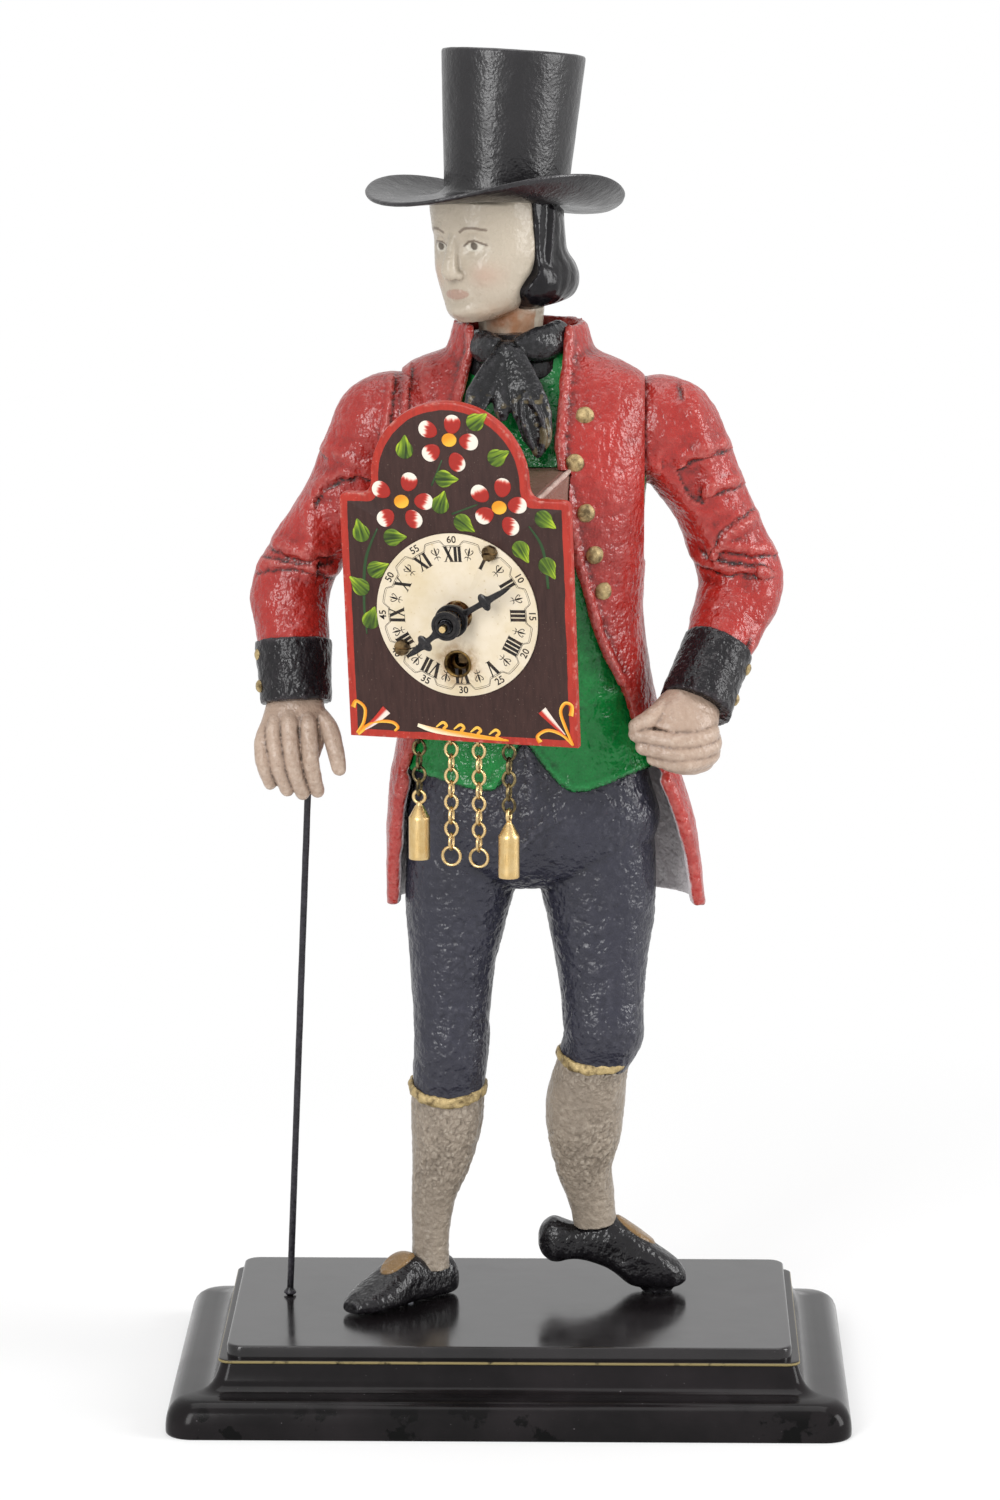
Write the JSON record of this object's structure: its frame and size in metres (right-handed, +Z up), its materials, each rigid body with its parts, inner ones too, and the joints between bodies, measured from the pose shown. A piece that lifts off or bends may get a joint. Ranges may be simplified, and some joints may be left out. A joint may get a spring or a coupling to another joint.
{
  "type": "figural mantel clock",
  "caption": "Painted cast iron figure of a clock seller with top hat and cane, carrying a wind-up clock with hanging chains and weights on his chest, on a stepped base.",
  "frame": {"origin": "centre of the plinth's underside", "axes": "+Z up, +X to the viewer's right, +Y from the viewer towards the back; the dial faces -Y"},
  "size_m": [0.201, 0.1334, 0.401],
  "materials": {
    "black_lacquer": "black lacquer, half gloss, a thin gilt line under the plate",
    "painted_coat": "oil paint on cast iron: red coat, green waistcoat, black cuffs and neckcloth, gilt buttons",
    "painted_legs": "oil paint on cast iron: crackled blue-black breeches, grey stockings, black shoes",
    "painted_flesh": "oil paint on cast iron: cream face, black hair",
    "black_iron": "satin black paint",
    "painted_board": "dark brown paint with a red border and painted flowers",
    "dial_card": "matt cream card with black numerals",
    "brown_case": "brown paint on thin sheet",
    "black_hands": "black, half gloss",
    "brass": "brushed, a little dull",
    "steel": "bright"
  },
  "bodies": {
    "figure": {"plinth": "black_lacquer", "top_plate": "black_lacquer", "foot_screw_right": "steel", "foot_screw_left": "steel", "legs_front": "painted_legs", "legs_back": "painted_legs", "torso_front": "painted_coat", "torso_back": "painted_coat", "right_arm": "painted_coat", "left_arm": "painted_coat", "head": "painted_flesh", "hat": "black_iron", "waist_screw": "steel", "chest_screw": "steel", "cane": "black_iron", "dial_board": "painted_board", "dial": "dial_card", "clock_case": "brown_case", "dial_screw_1": "brass", "dial_screw_2": "brass", "case_screw_1": "steel", "case_screw_2": "steel", "front_plate": "brass", "back_plate": "brass", "pillar_nut_1": "steel", "pillar_nut_2": "steel", "pillar_nut_3": "steel", "pillar_nut_4": "steel", "mainspring": "steel", "hairspring": "steel", "chain_eye_1": "brass", "chain_eye_2": "brass", "chain_eye_3": "brass", "chain_eye_4": "brass"},
    "centre_arbor": {"centre_wheel": "brass", "cannon_pinion": "steel", "minute_hand": "black_hands", "hand_nut": "brass"},
    "hour_pipe": {"hour_wheel": "brass", "hour_hand": "black_hands"},
    "minute_wheel": {"minute_wheel": "brass"},
    "great_wheel": {"great_wheel": "brass", "click": "steel"},
    "third_wheel": {"third_wheel": "brass"},
    "escape_wheel": {"escape_wheel": "brass"},
    "winding_arbor": {"winding_arbor": "steel"},
    "pallet_lever": {"pallet_lever": "steel"},
    "balance_wheel": {"balance_wheel": "brass"},
    "chain_1": {"chain_1": "brass"},
    "chain_2": {"chain_2": "brass"},
    "chain_3": {"chain_3": "brass"},
    "chain_4": {"chain_4": "brass"},
    "weight_1": {"weight_1": "brass"},
    "weight_4": {"weight_4": "brass"}
  },
  "joints": [
    {"name": "centre_turn", "type": "hinge", "parent": "figure", "child": "centre_arbor", "pos_m": [-0.0145, -0.052, 0.2421], "axis": [0.2765, 0.9519, 0.1323], "continuous": true},
    {"name": "hour_turn", "type": "hinge", "parent": "figure", "child": "hour_pipe", "pos_m": [-0.0145, -0.052, 0.2421], "axis": [0.2765, 0.9519, 0.1323], "continuous": true},
    {"name": "minute_wheel_turn", "type": "hinge", "parent": "figure", "child": "minute_wheel", "pos_m": [-0.00348, -0.05563, 0.24518], "axis": [0.2765, 0.9519, 0.1323], "continuous": true},
    {"name": "great_wheel_turn", "type": "hinge", "parent": "figure", "child": "great_wheel", "pos_m": [-0.01444, -0.05001, 0.22763], "axis": [0.2765, 0.9519, 0.1323], "continuous": true},
    {"name": "third_wheel_turn", "type": "hinge", "parent": "figure", "child": "third_wheel", "pos_m": [-0.02324, -0.05052, 0.24969], "axis": [0.2765, 0.9519, 0.1323], "continuous": true},
    {"name": "escape_wheel_turn", "type": "hinge", "parent": "figure", "child": "escape_wheel", "pos_m": [-0.01529, -0.05355, 0.25494], "axis": [0.2765, 0.9519, 0.1323], "continuous": true},
    {"name": "winding_turn", "type": "hinge", "parent": "figure", "child": "winding_arbor", "pos_m": [-0.01444, -0.05001, 0.22763], "axis": [0.2765, 0.9519, 0.1323], "continuous": true},
    {"name": "pallet_rock", "type": "hinge", "parent": "figure", "child": "pallet_lever", "pos_m": [-0.01556, -0.05449, 0.26227], "axis": [0.2765, 0.9519, 0.1323], "range_deg": [-2.5, 2.5]},
    {"name": "balance_swing", "type": "hinge", "parent": "figure", "child": "balance_wheel", "pos_m": [-0.00511, -0.05769, 0.26341], "axis": [0.2765, 0.9519, 0.1323], "range_deg": [-130, 130], "stiffness_Nm_per_rad": 0.000004},
    {"name": "chain_1_swing", "type": "hinge", "parent": "figure", "child": "chain_1", "pos_m": [-0.02633, -0.03502, 0.2051], "axis": [0.9603, -0.279, 0], "range_deg": [-30, 12]},
    {"name": "chain_2_swing", "type": "hinge", "parent": "figure", "child": "chain_2", "pos_m": [-0.01692, -0.03775, 0.2051], "axis": [0.9603, -0.279, 0], "range_deg": [-30, 12]},
    {"name": "chain_3_swing", "type": "hinge", "parent": "figure", "child": "chain_3", "pos_m": [-0.00885, -0.04009, 0.2051], "axis": [0.9603, -0.279, 0], "range_deg": [-30, 12]},
    {"name": "chain_4_swing", "type": "hinge", "parent": "figure", "child": "chain_4", "pos_m": [-0.00012, -0.04263, 0.2051], "axis": [0.9603, -0.279, 0], "range_deg": [-30, 12]},
    {"name": "weight_1_swing", "type": "hinge", "parent": "chain_1", "child": "weight_1", "pos_m": [-0.02633, -0.03502, 0.186], "axis": [0.279, 0.9603, 0], "range_deg": [-9, 20]},
    {"name": "weight_4_swing", "type": "hinge", "parent": "chain_4", "child": "weight_4", "pos_m": [-0.00012, -0.04263, 0.1821], "axis": [0.9603, -0.279, 0], "range_deg": [-20, 6]}
  ],
  "couplings": [
    {"joint": "hour_turn", "follows": "centre_turn", "ratio": 0.083333},
    {"joint": "minute_wheel_turn", "follows": "centre_turn", "ratio": -0.33333},
    {"joint": "great_wheel_turn", "follows": "centre_turn", "ratio": -0.16667},
    {"joint": "third_wheel_turn", "follows": "centre_turn", "ratio": -6},
    {"joint": "escape_wheel_turn", "follows": "centre_turn", "ratio": 24}
  ]
}
